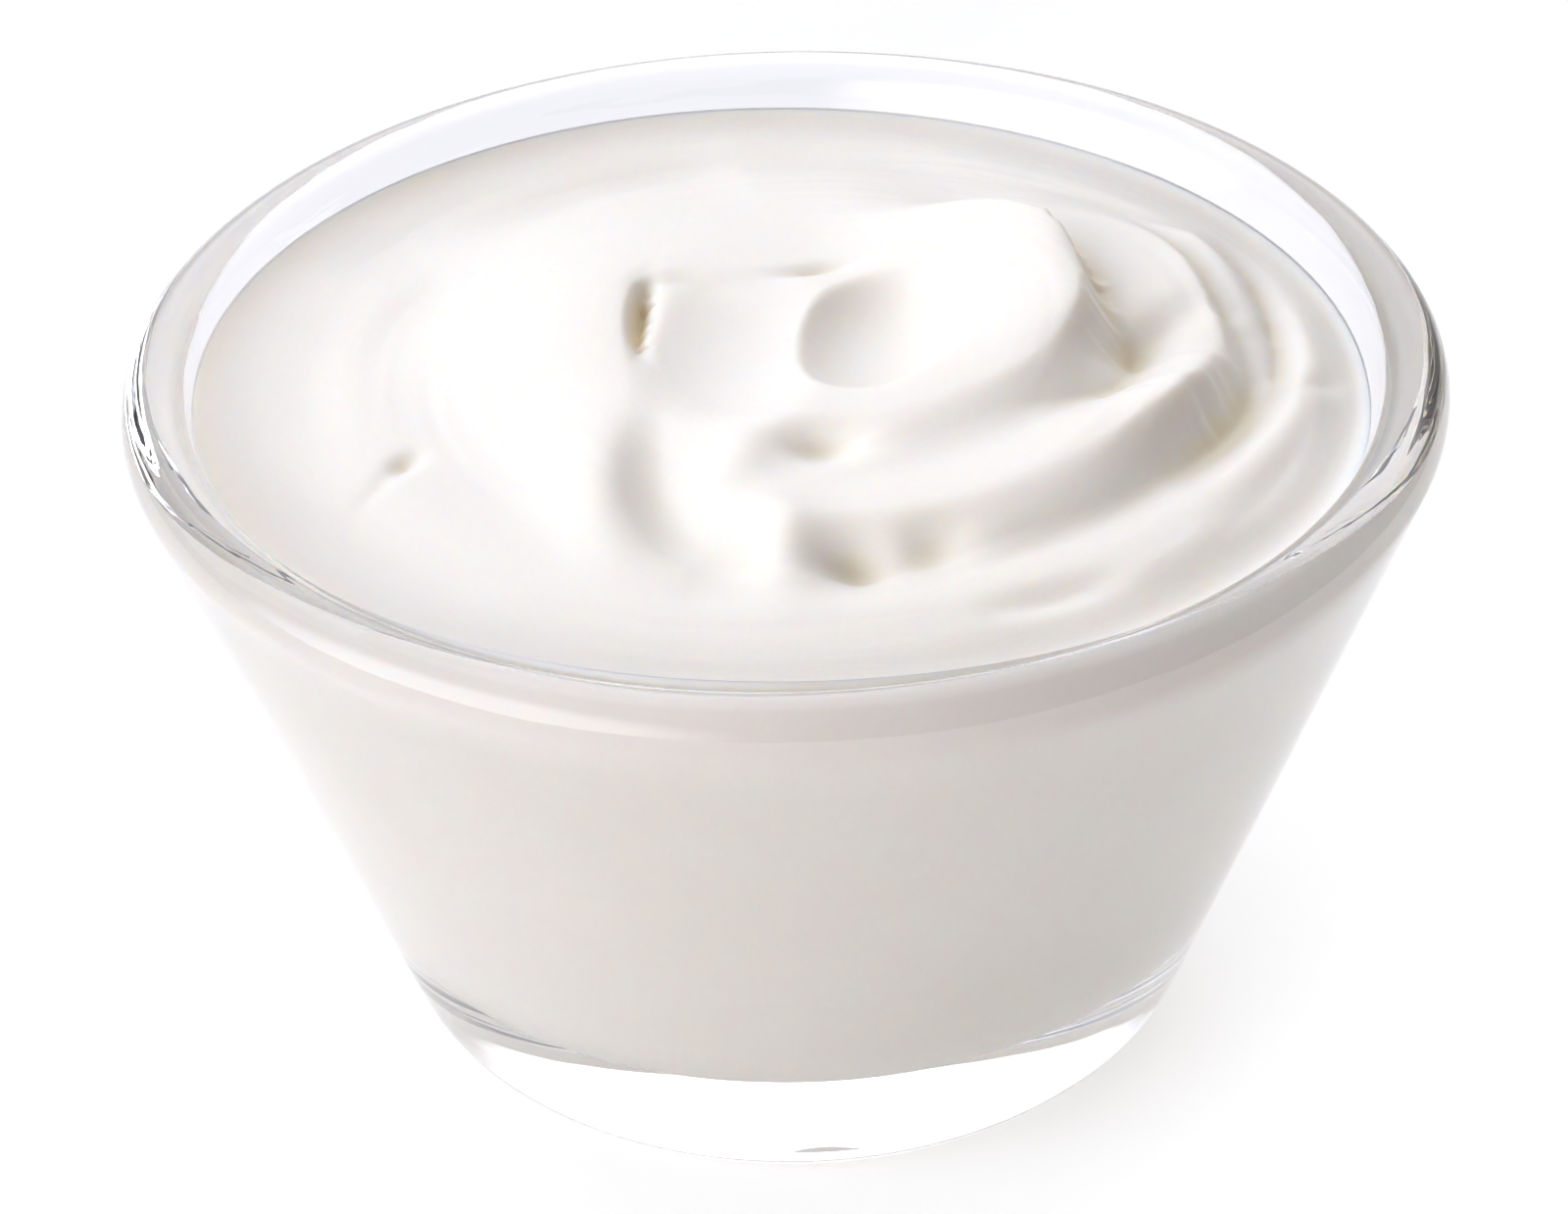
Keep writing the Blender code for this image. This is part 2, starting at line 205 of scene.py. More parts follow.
# faint smears, a little less polished than the rest
smears = nodes.new("ShaderNodeTexNoise")
smears.inputs["Scale"].default_value = 45
smears.inputs["Detail"].default_value = 5
links.new(place.outputs["Object"], smears.inputs["Vector"])
polish = nodes.new("ShaderNodeMapRange")
polish.inputs["From Min"].default_value = 0.5
polish.inputs["From Max"].default_value = 0.8
polish.inputs["To Min"].default_value = 0.0
polish.inputs["To Max"].default_value = 0.05
links.new(smears.outputs["Fac"], polish.inputs["Value"])
links.new(polish.outputs["Result"], shader.inputs["Roughness"])

bowl = add_piece("pressed_glass_bowl", glass_shape, clear_glass)
rim_lines = bowl.data.attributes.new("round_the_rim", "FLOAT_VECTOR", "POINT")
for vertex, line in zip(bowl.data.vertices, rim_lines.data):
    x, y, z = vertex.co
    line.vector = (x * SQUEEZE, y * SQUEEZE, z + SPREAD * math.hypot(x, y))
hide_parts("glass_bowl")


# Sour cream
# Thick cultured cream, spooned in to just under the rim and swirled with the back of a spoon: a hollow
# eye, two rolls that wind round it, a smooth lobe on the left, and a calm ring that wets the glass.
LEVEL_AT_WALL = 58.0 * MM
# The level wanders round the wall: it is highest in the first direction, lowest a half turn from it
LEVEL_WANDER = 0.9 * MM
LEVEL_HIGH_TOWARD = math.radians(190)
INTO_GLASS = 0.15 * MM
CALM_EDGE = 7.0 * MM
CREAM_STEPS = 400
CREAM_RINGS = 190
CREAM_WALL_STEPS = 10
CREAM_CORNER_STEPS = 8
CREAM_FLOOR_STEPS = 4
MOUND_RISE = 3.2 * MM
MOUND_RADIUS = 29.0 * MM
EYE = (3.0 * MM, -1.0 * MM)
FOLD_BLEND = 1.3 * MM
WAY_BLEND = 8.0
END_SINK = 0.16 * MM

# One turn of a fold's way: direction from the eye in degrees, distance of the crest from the eye,
# height of the crest, and the slopes that fall from it towards the eye and away from the eye
Turn = namedtuple("Turn", "toward reach crest inward outward")
# A fold's turns, and how round its crest is on the eye's side and on the far side
Fold = namedtuple("Fold", "turns round_inward round_outward")

# The broad roll that closes round the eye, with its lip hanging over on the right
INNER_ROLL = Fold(
    (
        Turn(100, 17.0 * MM, 61.0 * MM, 0.1, 0.15),
        Turn(78, 20.0 * MM, 62.6 * MM, 0.15, 0.3),
        Turn(62, 24.0 * MM, 63.8 * MM, 0.2, 0.8),
        Turn(48, 26.2 * MM, 65.2 * MM, 0.28, 1.7),
        Turn(30, 24.4 * MM, 66.0 * MM, 0.3, 1.9),
        Turn(10, 21.8 * MM, 65.8 * MM, 0.3, 1.5),
        Turn(-16, 18.4 * MM, 64.8 * MM, 0.28, 0.9),
        Turn(-40, 14.8 * MM, 64.2 * MM, 0.2, 0.5),
        Turn(-75, 13.0 * MM, 63.7 * MM, 0.2, 0.42),
        Turn(-115, 12.6 * MM, 63.4 * MM, 0.2, 0.45),
        Turn(-150, 12.8 * MM, 63.2 * MM, 0.2, 0.34),
        Turn(-172, 13.4 * MM, 63.0 * MM, 0.2, 0.6),
        Turn(-188, 14.2 * MM, 62.8 * MM, 0.2, 3.0),
        Turn(-206, 15.2 * MM, 62.6 * MM, 0.2, 3.0),
        Turn(-221, 17.6 * MM, 62.5 * MM, 0.2, 0.5),
        Turn(-240, 16.0 * MM, 61.0 * MM, 0.15, 0.15),
    ),
    2.0 * MM, 1.4 * MM,
)
# The next roll out, from its raised tip on the right round the front
SECOND_ROLL = Fold(
    (
        Turn(-3, 32.2 * MM, 61.2 * MM, 0.5, 1.2),
        Turn(-12, 31.2 * MM, 63.9 * MM, 0.9, 1.9),
        Turn(-29, 28.2 * MM, 63.6 * MM, 0.4, 1.2),
        Turn(-46, 26.8 * MM, 63.2 * MM, 0.24, 0.85),
        Turn(-68, 26.2 * MM, 62.7 * MM, 0.22, 0.75),
        Turn(-90, 25.4 * MM, 62.3 * MM, 0.22, 0.8),
        Turn(-108, 23.0 * MM, 61.9 * MM, 0.22, 0.6),
        Turn(-130, 18.6 * MM, 61.4 * MM, 0.22, 0.35),
        Turn(-155, 15.6 * MM, 60.8 * MM, 0.3, 0.6),
    ),
    2.0 * MM, 2.2 * MM,
)
# The broad smooth lobe at the back and left, cut off steeply along the slot beside the eye
LEFT_LOBE = Fold(
    (
        Turn(36, 17.0 * MM, 61.2 * MM, 0.1, 0.2),
        Turn(90, 14.0 * MM, 62.2 * MM, 0.1, 0.26),
        Turn(126, 17.6 * MM, 62.5 * MM, 0.1, 0.28),
        Turn(140, 19.8 * MM, 62.8 * MM, 0.8, 0.31),
        Turn(156, 17.7 * MM, 63.1 * MM, 3.0, 0.32),
        Turn(175, 16.3 * MM, 63.1 * MM, 2.6, 0.32),
        Turn(192, 16.0 * MM, 62.9 * MM, 0.35, 0.34),
        Turn(210, 18.6 * MM, 62.7 * MM, 0.3, 0.4),
        Turn(224, 23.4 * MM, 62.5 * MM, 0.34, 0.55),
        Turn(237, 30.4 * MM, 61.4 * MM, 0.34, 0.6),
        Turn(250, 33.0 * MM, 60.0 * MM, 0.4, 0.5),
    ),
    0.8 * MM, 2.6 * MM,
)
# The low table between the two rolls on the right
RIGHT_TABLE = Fold(
    (
        Turn(58, 32.0 * MM, 60.2 * MM, 0.15, 0.5),
        Turn(34, 34.6 * MM, 61.6 * MM, 0.15, 0.9),
        Turn(20, 33.6 * MM, 62.2 * MM, 0.2, 1.5),
        Turn(7, 33.0 * MM, 61.8 * MM, 0.3, 1.5),
        Turn(-4, 33.8 * MM, 60.0 * MM, 0.4, 1.2),
    ),
    1.6 * MM, 1.0 * MM,
)
# A narrow rib that stands between two grooves at the right
RIGHT_RIB = Fold(
    (
        Turn(34, 39.6 * MM, 59.8 * MM, 0.6, 0.9),
        Turn(20, 38.6 * MM, 60.6 * MM, 0.7, 1.6),
        Turn(8, 37.8 * MM, 60.4 * MM, 0.7, 1.6),
        Turn(-4, 36.4 * MM, 59.8 * MM, 0.8, 1.4),
    ),
    1.0 * MM, 1.0 * MM,
)
# The low ridge where the folds end and the calm outer ring begins
OUTER_RIDGE = Fold(
    (
        Turn(14, 42.8 * MM, 59.3 * MM, 0.4, 0.2),
        Turn(-8, 39.8 * MM, 59.8 * MM, 0.4, 0.2),
        Turn(-18, 38.4 * MM, 60.1 * MM, 0.4, 0.2),
        Turn(-55, 35.0 * MM, 60.4 * MM, 0.3, 0.24),
        Turn(-92, 35.8 * MM, 60.3 * MM, 0.2, 0.3),
        Turn(-130, 36.0 * MM, 59.9 * MM, 0.2, 0.26),
        Turn(-175, 36.4 * MM, 59.5 * MM, 0.2, 0.18),
        Turn(-205, 38.0 * MM, 58.9 * MM, 0.2, 0.12),
    ),
    1.0 * MM, 1.0 * MM,
)
FOLDS = (INNER_ROLL, SECOND_ROLL, LEFT_LOBE, RIGHT_TABLE, RIGHT_RIB, OUTER_RIDGE)

# A groove drawn round the bowl's axis, from one direction and radius to another, with its half width
# and its depth
Groove = namedtuple("Groove", "from_deg to_deg from_radius to_radius wide deep")
GROOVES = (
    Groove(66, 142, 40.6 * MM, 37.0 * MM, 3.2 * MM, 1.0 * MM),
    Groove(34, -34, 44.2 * MM, 36.6 * MM, 2.1 * MM, 1.8 * MM),
    Groove(150, 204, 40.4 * MM, 39.6 * MM, 2.4 * MM, 0.3 * MM),
    Groove(122, 182, 31.0 * MM, 35.0 * MM, 3.0 * MM, 0.35 * MM),
    Groove(196, 236, 43.0 * MM, 41.0 * MM, 2.2 * MM, 0.3 * MM),
    Groove(-10, -40, 44.0 * MM, 42.4 * MM, 1.6 * MM, 0.6 * MM),
    Groove(-50, -70, 42.0 * MM, 40.4 * MM, 1.5 * MM, 0.6 * MM),
    Groove(22, 58, 44.0 * MM, 39.0 * MM, 1.2 * MM, 0.35 * MM),
)

# A dab of the spoon: where it is from the bowl's axis, its half length and half width, the direction of
# its length in degrees, and how far it raises the cream or, below zero, presses it in
Dab = namedtuple("Dab", "x y long wide turned rise")
DABS = (
    # the pit under the inner roll's lip, and the groove that leaves it in front of the table
    Dab(26.4 * MM, 9.0 * MM, 6.0 * MM, 1.8 * MM, 100, -1.4 * MM),
    Dab(29.0 * MM, 0.4 * MM, 7.5 * MM, 2.0 * MM, 44, -1.3 * MM),
    # the slot's deepest part
    Dab(-11.8 * MM, 5.4 * MM, 4.6 * MM, 1.0 * MM, 88, -0.8 * MM),
    # the notch behind the hollow
    Dab(2.6 * MM, 12.0 * MM, 3.0 * MM, 0.9 * MM, 10, -0.7 * MM),
    # the dimple in the front of the inner roll, and the raised patch to its left
    Dab(2.8 * MM, -16.8 * MM, 3.2 * MM, 1.9 * MM, 0, -1.6 * MM),
    Dab(-3.8 * MM, -18.0 * MM, 2.8 * MM, 2.6 * MM, 0, 0.7 * MM),
    # the spur that ends the front groove, and the two deep spots beside it
    Dab(-0.4 * MM, -30.0 * MM, 4.6 * MM, 2.6 * MM, -84, 1.4 * MM),
    Dab(5.4 * MM, -30.8 * MM, 2.6 * MM, 2.4 * MM, 0, -1.7 * MM),
    Dab(11.0 * MM, -29.6 * MM, 3.0 * MM, 2.0 * MM, 20, -1.3 * MM),
    # the valley between the left lobe and the second roll
    Dab(-9.8 * MM, -22.5 * MM, 8.0 * MM, 3.4 * MM, -76, -0.9 * MM),
    # the pricked dent at the left and the crease that leaves it
    Dab(-31.0 * MM, -13.4 * MM, 1.6 * MM, 1.0 * MM, 50, -0.8 * MM),
    Dab(-33.0 * MM, -16.8 * MM, 3.4 * MM, 0.9 * MM, 62, -0.25 * MM),
    # a nick in the ring at the right
    Dab(45.0 * MM, -2.5 * MM, 3.0 * MM, 1.2 * MM, 35, -0.7 * MM),
)

# A dish that the spoon's tip left over the eye: its centre, half length and half width, the direction of
# its length in degrees, its floor, the height of its side at that length and width, how its side
# steepens, and how softly it runs out. A sharp ridge stands where the two dishes meet.
Dish = namedtuple("Dish", "x y long wide turned floor side steepens blend")
DISHES = (
    Dish(-4.2 * MM, -1.2 * MM, 10.6 * MM, 6.2 * MM, 78, 61.4 * MM, 62.7 * MM, 2.4, 1.8 * MM),
    Dish(7.2 * MM, 0.8 * MM, 9.8 * MM, 6.8 * MM, 77, 59.9 * MM, 62.9 * MM, 2.4, 0.5 * MM),
)
# The cap of cream over the eye that the dishes are pressed into
CAP_HEIGHT = 62.7 * MM
CAP_DROP = 1.4 * MM
CAP_RADIUS = 13.0 * MM

# A lip that hangs over: the fold, the stretch of its way in degrees, and how far it is hollowed below
Lip = namedtuple("Lip", "fold from_deg to_deg under")
LIPS = (
    Lip(INNER_ROLL, -10, 60, 0.6 * MM),
    Lip(SECOND_ROLL, -44, 2, 0.8 * MM),
    Lip(RIGHT_TABLE, 2, 40, 0.8 * MM),
)
LIP_BODY = 6.0 * MM
LIP_DROP = 3.2 * MM

# The fine lines that the spoon's edge drew along its strokes
STREAK_SPACING = 0.9 * MM
STREAK_HEIGHT = 0.09 * MM
STREAK_LAYERS = 3
STREAK_START = 12.0 * MM
# How far the lines in the shading run along the strokes
STREAK_LENGTH = 6 * MM
# The torn, crumbly edge of a lip
RAGGED_REACH = 0.16 * MM
# How far round a place its depth is judged for the painted shade in the folds, from how many sides, and
# the depth at which that painted shade is full
FOLD_VIEW = 2.0 * MM
FOLD_LOOKS = 8
FOLD_DEEP = 1.5 * MM
# How far off the wall the painted crease shade begins, because the cream that climbs the glass isn't a
# fold
FOLD_OFF_WALL = 3 * MM
# How far the cream climbs the glass where it wets it, and over what width
MENISCUS_RISE = 0.5 * MM
MENISCUS_WIDTH = 0.9 * MM
# The spoon has smeared it further up the glass at the front
SMEAR_RISE = 3.2 * MM
SMEAR_TOWARD = math.radians(-90)
# The ring of cream next to the wall that follows the wall's lean as it rises
LEANING_RING = 2 * MM


def smooth_top(a, b, blend):
    """The higher of two surfaces, run together where they meet."""
    share = np.clip(0.5 + 0.5 * (a - b) / blend, 0, 1)
    return b + (a - b) * share + blend * share * (1 - share)


def fall(distance, slope, roundness):
    """How far a flank has dropped at a distance from its rounded crest."""
    return np.sqrt((slope * distance) ** 2 + roundness**2) - roundness


def follow(fold, toward, column):
    """One value of a fold's turns, read smoothly at each direction."""
    turns = sorted(fold.turns)
    knots = [turn.toward for turn in turns]
    values = [getattr(turn, column) for turn in turns]
    shifts = np.linspace(-WAY_BLEND, WAY_BLEND, 7)
    return sum(np.interp(toward + shift, knots, values) for shift in shifts) / len(shifts)


def from_eye(x, y, middle):
    """Direction from the eye in degrees, within half a turn of the middle, and distance from the eye."""
    toward = np.degrees(np.arctan2(y - EYE[1], x - EYE[0]))
    return (toward - middle + 180) % 360 - 180 + middle, np.hypot(x - EYE[0], y - EYE[1])


def ragged(toward):
    """A crumbly wander of a crest, the same each time round."""
    turn = np.radians(toward)
    return RAGGED_REACH * (np.sin(41 * turn) + 0.8 * np.sin(67 * turn + 1) + 0.6 * np.sin(109 * turn + 2))


def fold_height(fold, x, y):
    """Height of one fold over the plan, far below the cream where the fold isn't."""
    first = min(turn.toward for turn in fold.turns)
    last = max(turn.toward for turn in fold.turns)
    toward, reach = from_eye(x, y, (first + last) / 2)
    past_end = np.maximum(np.maximum(first - toward, toward - last), 0)
    slope_out = follow(fold, toward, "outward")
    steepness = np.clip(slope_out - 1, 0, 1)
    outside = reach - follow(fold, toward, "reach") + ragged(toward) * steepness
    inward = fall(outside, follow(fold, toward, "inward"), fold.round_inward)
    outward = fall(outside, slope_out, fold.round_outward)
    return follow(fold, toward, "crest") - END_SINK * past_end - np.where(outside > 0, outward, inward)


def groove_depth(groove, x, y):
    """How deep one groove is pressed in over the plan. It fades in and out over its two ends."""
    span = groove.to_deg - groove.from_deg
    middle = groove.from_deg + span / 2
    toward = (np.degrees(np.arctan2(y, x)) - middle + 180) % 360 - 180
    share = np.clip(toward / span + 0.5, 0, 1)
    radius = groove.from_radius + (groove.to_radius - groove.from_radius) * share
    fade = np.sin(math.pi * share)
    return groove.deep * fade * np.exp(-(((np.hypot(x, y) - radius) / groove.wide) ** 2))


def dab_height(dab, x, y):
    """How far one dab raises the cream over the plan."""
    turned = math.radians(dab.turned)
    along = (x - dab.x) * math.cos(turned) + (y - dab.y) * math.sin(turned)
    across = (y - dab.y) * math.cos(turned) - (x - dab.x) * math.sin(turned)
    return dab.rise * np.exp(-((along / dab.long) ** 2) - (across / dab.wide) ** 2)


def dish_height(dish, x, y):
    """Height of one dish over the plan, far above the cream outside it."""
    turned = math.radians(dish.turned)
    along = (x - dish.x) * math.cos(turned) + (y - dish.y) * math.sin(turned)
    across = (y - dish.y) * math.cos(turned) - (x - dish.x) * math.sin(turned)
    out = np.hypot(along / dish.long, across / dish.wide)
    return dish.floor + (dish.side - dish.floor) * out**dish.steepens


def stroke_place(x, y):
    """Distance across the spoon's strokes, which turn round the eye inside and the axis outside."""
    outer = np.clip(np.hypot(x, y) / RIM_RADIUS, 0, 1)
    return np.hypot(x - EYE[0] * (1 - outer), y - EYE[1] * (1 - outer))


def streak_height(x, y):
    """Fine lines along the strokes, each of which fades in and out on its way."""
    lines = np.random.default_rng(11).uniform(-1, 1, (STREAK_LAYERS, 90))
    turn = np.arctan2(y - EYE[1], x - EYE[0])
    across = stroke_place(x, y)
    height = np.zeros_like(x)
    for layer, line in enumerate(lines):
        drift = across / STREAK_SPACING + 1.6 * np.sin(turn + 2.1 * layer) + 3
        strong = 0.5 + 0.5 * np.sin((layer + 2) * turn + 0.25 * drift + 1.7 * layer)
        height += np.interp(drift, range(len(line)), line) * strong
    away = np.clip(across / STREAK_START - 0.5, 0, 1)
    return STREAK_HEIGHT * away * height / STREAK_LAYERS


def cream_height(x, y):
    """Height of the cream's top over the plan."""
    from_axis = np.hypot(x, y)
    height = LEVEL_AT_WALL + MOUND_RISE * np.exp(-((from_axis / MOUND_RADIUS) ** 4))
    for fold in FOLDS:
        height = smooth_top(height, fold_height(fold, x, y), FOLD_BLEND)
    from_middle = np.hypot(x - EYE[0], y - EYE[1]) / CAP_RADIUS
    height = smooth_top(height, CAP_HEIGHT - CAP_DROP * from_middle**4, FOLD_BLEND)
    for dish in DISHES:
        height = -smooth_top(-height, -dish_height(dish, x, y), dish.blend)
    height = height + sum(dab_height(dab, x, y) for dab in DABS)
    height = height - sum(groove_depth(groove, x, y) for groove in GROOVES)
    edge = wall_radius(LEVEL_AT_WALL, WALL_THICKNESS)
    calm = np.clip((from_axis - edge + CALM_EDGE) / CALM_EDGE, 0, 1)
    calm = calm * calm * (3 - 2 * calm)
    wander = LEVEL_WANDER * np.cos(np.arctan2(y, x) - LEVEL_HIGH_TOWARD)
    height = height * (1 - calm) + (LEVEL_AT_WALL + wander) * calm
    smeared = np.clip(np.cos(np.arctan2(y, x) - SMEAR_TOWARD), 0, 1) ** 1.5
    meniscus = (MENISCUS_RISE + SMEAR_RISE * smeared) * np.exp((from_axis - edge) / MENISCUS_WIDTH)
    return height + streak_height(x, y) * (1 - 0.6 * calm) + meniscus


def hollow_under(x, y, height):
    """Draws the flanks below the lips in towards the eye, so that the lips hang over their grooves."""
    move_x, move_y = np.zeros_like(x), np.zeros_like(y)
    for lip in LIPS:
        toward, reach = from_eye(x, y, (lip.from_deg + lip.to_deg) / 2)
        share = np.clip((toward - lip.from_deg) / (lip.to_deg - lip.from_deg), 0, 1)
        outside = np.maximum(reach - follow(lip.fold, toward, "reach"), 0)
        dropped = np.clip((follow(lip.fold, toward, "crest") - height) / LIP_DROP, 0, 1)
        weight = dropped * np.exp(-((outside / LIP_BODY) ** 2)) * (outside > 0)
        move = lip.under * np.sin(math.pi * share) * weight
        move_x -= move * (x - EYE[0]) / np.maximum(reach, MM)
        move_y -= move * (y - EYE[1]) / np.maximum(reach, MM)
    return x + move_x, y + move_y


wet_wall = WALL_THICKNESS - INTO_GLASS
edge = wall_radius(LEVEL_AT_WALL, wet_wall)
side_corner = corner_centre(wet_wall, INNER_CORNER, BASE_THICKNESS - INTO_GLASS)
side_foot = (
    side_corner[0] + INNER_CORNER * math.cos(WALL_LEAN),
    side_corner[1] - INNER_CORNER * math.sin(WALL_LEAN),
)
cream_shape = bmesh.new()
pen = cream_shape.verts.new((0, 0, LEVEL_AT_WALL))
pen = draw_line(cream_shape, pen, edge, LEVEL_AT_WALL, CREAM_RINGS)
pen = draw_line(cream_shape, pen, *side_foot, CREAM_WALL_STEPS)
pen = draw_arc(cream_shape, pen, side_corner, lean - 90, CREAM_CORNER_STEPS)
pen = draw_line(cream_shape, pen, 0, side_corner[1] - INNER_CORNER, CREAM_FLOOR_STEPS)
spin_section(cream_shape, CREAM_STEPS)

sour_cream = bpy.data.materials.new("sour_cream")
cream = add_piece("swirled_sour_cream", cream_shape, sour_cream)
place_of = np.empty(len(cream.data.vertices) * 3)
cream.data.vertices.foreach_get("co", place_of)
x, y, z = place_of.reshape(-1, 3).T
top = z > LEVEL_AT_WALL - SAME_PLACE
x_top, y_top = x[top], y[top]
z_top = cream_height(x_top, y_top)
wall_share = np.clip((np.hypot(x_top, y_top) - edge) / LEANING_RING + 1, 0, 1)
x_under, y_under = hollow_under(x_top, y_top, z_top)
grow = 1 + wall_share * (z_top - LEVEL_AT_WALL) * math.tan(WALL_LEAN) / edge
x[top], y[top], z[top] = x_under * grow, y_under * grow, z_top
cream.data.vertices.foreach_set("co", np.column_stack((x, y, z)).ravel())
stroke = cream.data.attributes.new("stroke", "FLOAT_VECTOR", "POINT")
turn = np.arctan2(y - EYE[1], x - EYE[0])
along = STREAK_LENGTH * np.cos(turn), STREAK_LENGTH * np.sin(turn)
stroke_values = np.column_stack((stroke_place(x, y), *along))
stroke.data.foreach_set("vector", stroke_values.ravel())
# how deep each place lies below the cream round it, for the painted shade that makes the cream darker and
# yellower in the folds
round_it = [
    cream_height(x_top + FOLD_VIEW * math.cos(turn), y_top + FOLD_VIEW * math.sin(turn))
    for turn in np.linspace(0, 2 * math.pi, FOLD_LOOKS, endpoint=False)
]
painted_crease_shade = np.zeros_like(z)
off_wall = np.clip((edge - FOLD_OFF_WALL - np.hypot(x_top, y_top)) / FOLD_VIEW, 0, 1)
painted_crease_shade[top] = off_wall * np.clip((np.mean(round_it, axis=0) - z_top) / FOLD_DEEP - 0.1, 0, 1)
cream.data.attributes.new("painted_crease_shade", "FLOAT", "POINT").data.foreach_set("value", painted_crease_shade)
cream.data.update()

sour_cream.use_nodes = True
nodes, links = sour_cream.node_tree.nodes, sour_cream.node_tree.links
shader = nodes["Principled BSDF"]
shader.inputs["Subsurface Weight"].default_value = 1
shader.inputs["Subsurface Radius"].default_value = (1.0, 0.75, 0.48)
shader.inputs["Subsurface Scale"].default_value = 1.5 * MM
place = nodes.new("ShaderNodeTexCoord")
# the butterfat's uneven, warm white
blotches = nodes.new("ShaderNodeTexNoise")
blotches.inputs["Scale"].default_value = 60
blotches.inputs["Detail"].default_value = 4
links.new(place.outputs["Object"], blotches.inputs["Vector"])
whites = nodes.new("ShaderNodeValToRGB")
whites.color_ramp.elements[0].position = 0.35
whites.color_ramp.elements[0].color = (0.880, 0.842, 0.775, 1)
whites.color_ramp.elements[1].position = 0.65
whites.color_ramp.elements[1].color = (0.895, 0.862, 0.805, 1)
links.new(blotches.outputs["Fac"], whites.inputs["Fac"])
# painted shade: darker and yellower where it lies deep between the folds
depth = nodes.new("ShaderNodeAttribute")
depth.attribute_name = "painted_crease_shade"
crease_painted_shade = nodes.new("ShaderNodeMix")
crease_painted_shade.data_type = "RGBA"
crease_painted_shade.inputs["B"].default_value = (0.820, 0.700, 0.450, 1)
links.new(depth.outputs["Fac"], crease_painted_shade.inputs["Factor"])
links.new(whites.outputs["Color"], crease_painted_shade.inputs["A"])
links.new(crease_painted_shade.outputs["Result"], shader.inputs["Base Color"])
# its moist sheen, broken by drier patches
sheen = nodes.new("ShaderNodeTexNoise")
sheen.inputs["Scale"].default_value = 240
sheen.inputs["Detail"].default_value = 3
links.new(place.outputs["Object"], sheen.inputs["Vector"])
moist = nodes.new("ShaderNodeMapRange")
moist.inputs["To Min"].default_value = 0.34
moist.inputs["To Max"].default_value = 0.56
links.new(sheen.outputs["Fac"], moist.inputs["Value"])
links.new(moist.outputs["Result"], shader.inputs["Roughness"])
# hair-fine lines along the strokes, and the cream's own small lumps
way = nodes.new("ShaderNodeAttribute")
way.attribute_name = "stroke"
hair_lines = nodes.new("ShaderNodeTexNoise")
hair_lines.inputs["Scale"].default_value = 1500
hair_lines.inputs["Detail"].default_value = 3
links.new(way.outputs["Vector"], hair_lines.inputs["Vector"])
lines_bump = nodes.new("ShaderNodeBump")
lines_bump.inputs["Strength"].default_value = 0.5
lines_bump.inputs["Distance"].default_value = 0.06 * MM
links.new(hair_lines.outputs["Fac"], lines_bump.inputs["Height"])
lumps = nodes.new("ShaderNodeTexNoise")
lumps.inputs["Scale"].default_value = 900
lumps.inputs["Detail"].default_value = 4
links.new(place.outputs["Object"], lumps.inputs["Vector"])
lumps_bump = nodes.new("ShaderNodeBump")
lumps_bump.inputs["Strength"].default_value = 0.3
lumps_bump.inputs["Distance"].default_value = 0.05 * MM
links.new(lumps.outputs["Fac"], lumps_bump.inputs["Height"])
links.new(lines_bump.outputs["Normal"], lumps_bump.inputs["Normal"])
links.new(lumps_bump.outputs["Normal"], shader.inputs["Normal"])

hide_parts("sour_cream")


# Floor
# A plain matt white table top, lit a little from below, wide enough to reach past every view. It lies a
# hair under the foot, so that the glass has air below it and stays bright.
FLOOR_HALF = 1.0
FLOOR_DROP = 0.1 * MM
# The light from below, weak at the back left, where the softbox reaches, and stronger at the front right
GLOW_TOWARD = (0.8, -0.6, 0)
GLOW_FROM = -90 * MM
GLOW_TO = 100 * MM
GLOW_WEAK = 0.28
GLOW_STRONG = 0.67
floor_shape = bmesh.new()
bmesh.ops.create_grid(floor_shape, x_segments=1, y_segments=1, size=FLOOR_HALF)
bmesh.ops.translate(floor_shape, verts=floor_shape.verts, vec=(0, 0, -FLOOR_DROP))
floor_mesh = bpy.data.meshes.new("white_floor")
floor_shape.to_mesh(floor_mesh)
floor_shape.free()
white = bpy.data.materials.new("white_floor")
white.use_nodes = True
nodes, links = white.node_tree.nodes, white.node_tree.links
shader = nodes["Principled BSDF"]
shader.inputs["Base Color"].default_value = (0.72, 0.72, 0.72, 1)
shader.inputs["Roughness"].default_value = 0.9
shader.inputs["Specular IOR Level"].default_value = 0.1
shader.inputs["Emission Color"].default_value = (1, 1, 1, 1)
place = nodes.new("ShaderNodeTexCoord")
aslant = nodes.new("ShaderNodeVectorMath")
aslant.operation = "DOT_PRODUCT"
aslant.inputs[1].default_value = GLOW_TOWARD
links.new(place.outputs["Object"], aslant.inputs[0])
glow = nodes.new("ShaderNodeMapRange")
glow.inputs["From Min"].default_value, glow.inputs["From Max"].default_value = GLOW_FROM, GLOW_TO
glow.inputs["To Min"].default_value, glow.inputs["To Max"].default_value = GLOW_WEAK, GLOW_STRONG
links.new(aslant.outputs["Value"], glow.inputs["Value"])
links.new(glow.outputs["Result"], shader.inputs["Emission Strength"])
floor_mesh.materials.append(white)
floor = bpy.data.objects.new("white_floor", floor_mesh)
bpy.context.scene.collection.objects.link(floor)


